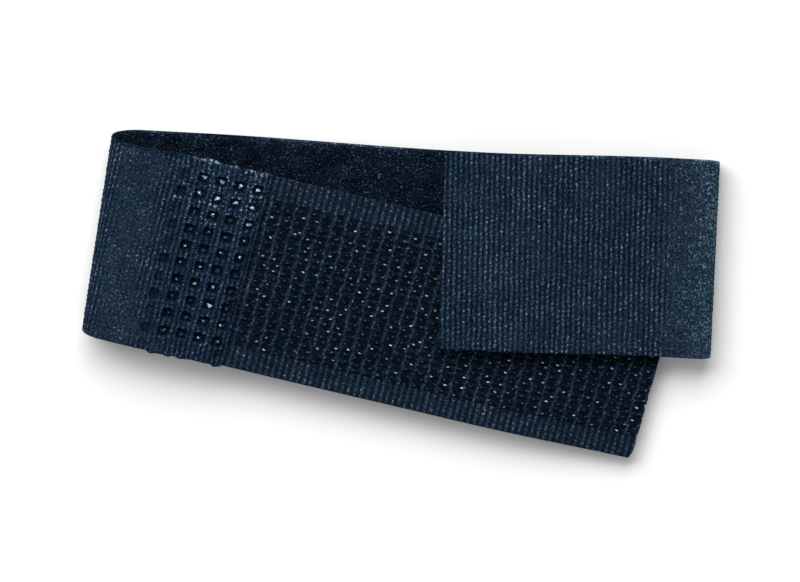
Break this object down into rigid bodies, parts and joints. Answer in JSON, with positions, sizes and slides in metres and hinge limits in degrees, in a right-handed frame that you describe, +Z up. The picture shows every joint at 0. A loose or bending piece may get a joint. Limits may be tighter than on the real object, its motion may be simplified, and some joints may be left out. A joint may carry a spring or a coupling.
{
  "type": "hook-and-loop tourniquet band",
  "caption": "Flat woven strap closed into a loop by its own hook and loop faces, with a welded joint between its two tapes and a peelable tail.",
  "frame": {"origin": "centre of the bounding box at its underside, on the surface that the band lies on", "axes": "+X along the band from the left fold to the right fold, +Y across the band, +Z up from the surface it lies on"},
  "size_m": [0.078, 0.0422, 0.0056],
  "materials": {
    "weave": "ribbed woven nylon, dark navy, dull",
    "hook_tape": "ribbed woven nylon with bare selvedges, dark navy",
    "loop_pile": "napped filament loops, near-black navy",
    "hooks": "stiff monofilament hooks with a sharp glint",
    "weld": "melted and re-set nylon, glossy"
  },
  "bodies": {
    "back_left": {"back_weave_left": "weave", "back_pile_left": "loop_pile", "left_fold_weave": "weave", "left_fold_pile": "loop_pile"},
    "back_right": {"back_weave_right": "weave", "back_pile_right": "loop_pile"},
    "front_left": {"lead_weave": "weave", "lead_pile": "loop_pile", "weld_nuggets": "weld", "hook_tape_weave_left": "hook_tape", "hook_rows_left": "hooks"},
    "front_right": {"hook_tape_weave_right": "hook_tape", "hook_rows_right": "hooks"},
    "right_turn": {"right_fold_weave": "weave", "right_fold_pile": "loop_pile"},
    "tail": {"tail_weave": "weave", "tail_pile": "loop_pile"}
  },
  "joints": [
    {"name": "band_open", "type": "hinge", "parent": "back_left", "child": "back_right", "pos_m": [0.00432, 0, 0.00275], "axis": [0, -1, 0], "range_deg": [0, 90]},
    {"name": "left_fold_turn", "type": "hinge", "parent": "back_left", "child": "front_left", "pos_m": [-0.03578, 0, 0.00305], "axis": [0, -1, 0], "range_deg": [0, 90], "deforming": ["left_fold_weave", "left_fold_pile"]},
    {"name": "front_bend", "type": "hinge", "parent": "front_left", "child": "front_right", "pos_m": [-0.00218, 0, 0.0031], "axis": [0, 1, 0], "range_deg": [0, 90]},
    {"name": "right_fold_turn", "type": "hinge", "parent": "back_right", "child": "right_turn", "pos_m": [0.03792, 0, 0.0028], "axis": [0, 1, 0], "range_deg": [0, 90], "deforming": ["right_fold_weave", "right_fold_pile"]},
    {"name": "tail_peel", "type": "hinge", "parent": "right_turn", "child": "tail", "pos_m": [0.03792, 0, 0.0021], "axis": [0, 1, 0], "range_deg": [0, 90]}
  ],
  "couplings": [
    {"joint": "left_fold_turn", "follows": "band_open", "ratio": 1},
    {"joint": "front_bend", "follows": "band_open", "ratio": 1},
    {"joint": "right_fold_turn", "follows": "band_open", "ratio": 1}
  ]
}
